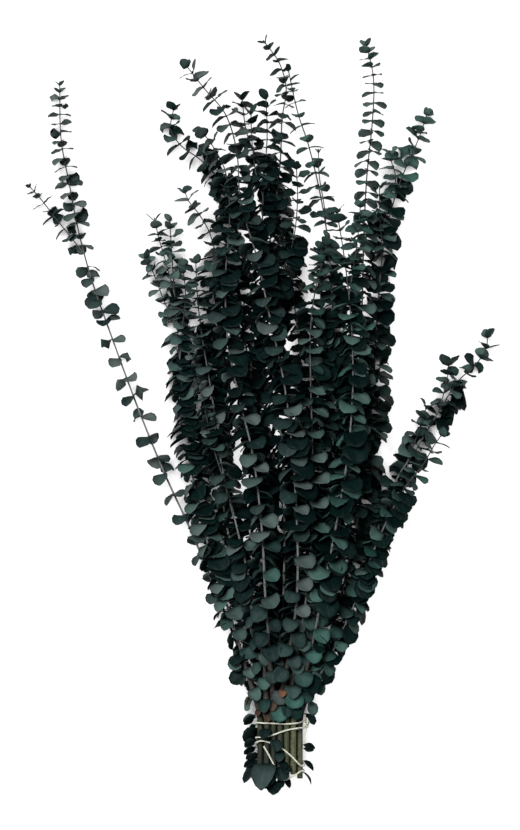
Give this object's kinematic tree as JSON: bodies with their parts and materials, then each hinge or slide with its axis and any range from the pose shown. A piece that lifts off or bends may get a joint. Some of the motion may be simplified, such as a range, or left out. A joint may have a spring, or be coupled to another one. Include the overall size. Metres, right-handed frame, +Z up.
{
  "type": "preserved eucalyptus bunch",
  "caption": "Lying bunch of leafy preserved eucalyptus stems with small paired round leaves, held near the cut ends by a wound cream string.",
  "frame": {"origin": "centre of the bunch's bounding box on the surface it lies on", "axes": "+Y from the cut ends to the tips, +X to the right with the bunch seen from above and its tips away, +Z up off the surface"},
  "size_m": [0.4681, 0.7506, 0.0825],
  "materials": {
    "stem_01_green": "matt, dyed blue-green leaves on a thin grey-green stem",
    "stem_02_green": "matt, dyed blue-green leaves on a thin grey-green stem",
    "stem_03_green": "matt, dyed blue-green leaves on a thin grey-green stem",
    "stem_04_green": "matt, dyed blue-green leaves on a thin grey-green stem",
    "stem_05_green": "matt, dyed blue-green leaves on a thin grey-green stem",
    "stem_06_green": "matt, dyed blue-green leaves on a thin grey-green stem",
    "stem_07_green": "matt, dyed blue-green leaves on a thin grey-green stem",
    "stem_08_green": "matt, dyed blue-green leaves on a thin grey-green stem",
    "stem_09_green": "matt, dyed blue-green leaves on a thin grey-green stem",
    "stem_10_green": "matt, dyed blue-green leaves on a thin grey-green stem",
    "stem_11_green": "matt, dyed blue-green leaves on a thin grey-green stem",
    "stem_12_green": "matt, dyed blue-green leaves on a thin grey-green stem",
    "stem_13_green": "matt, dyed blue-green leaves on a thin grey-green stem",
    "stem_14_green": "matt, dyed blue-green leaves on a thin grey-green stem",
    "stem_15_green": "matt, dyed blue-green leaves on a thin grey-green stem",
    "stem_16_green": "matt, dyed blue-green leaves on a thin grey-green stem",
    "stem_17_green": "matt, dyed blue-green leaves on a thin grey-green stem",
    "stem_18_green": "matt, dyed blue-green leaves on a thin grey-green stem",
    "cream_string": "matt twisted string"
  },
  "bodies": {
    "root": {"stem_01": "stem_01_green", "stem_02": "stem_02_green", "stem_03": "stem_03_green", "stem_04": "stem_04_green", "stem_05": "stem_05_green", "stem_06": "stem_06_green", "stem_07": "stem_07_green", "stem_08": "stem_08_green", "stem_09": "stem_09_green", "stem_10": "stem_10_green", "stem_11": "stem_11_green", "stem_12": "stem_12_green", "stem_13": "stem_13_green", "stem_14": "stem_14_green", "stem_15": "stem_15_green", "stem_16": "stem_16_green", "stem_17": "stem_17_green", "stem_18": "stem_18_green", "tie_string": "cream_string"}
  },
  "joints": []
}
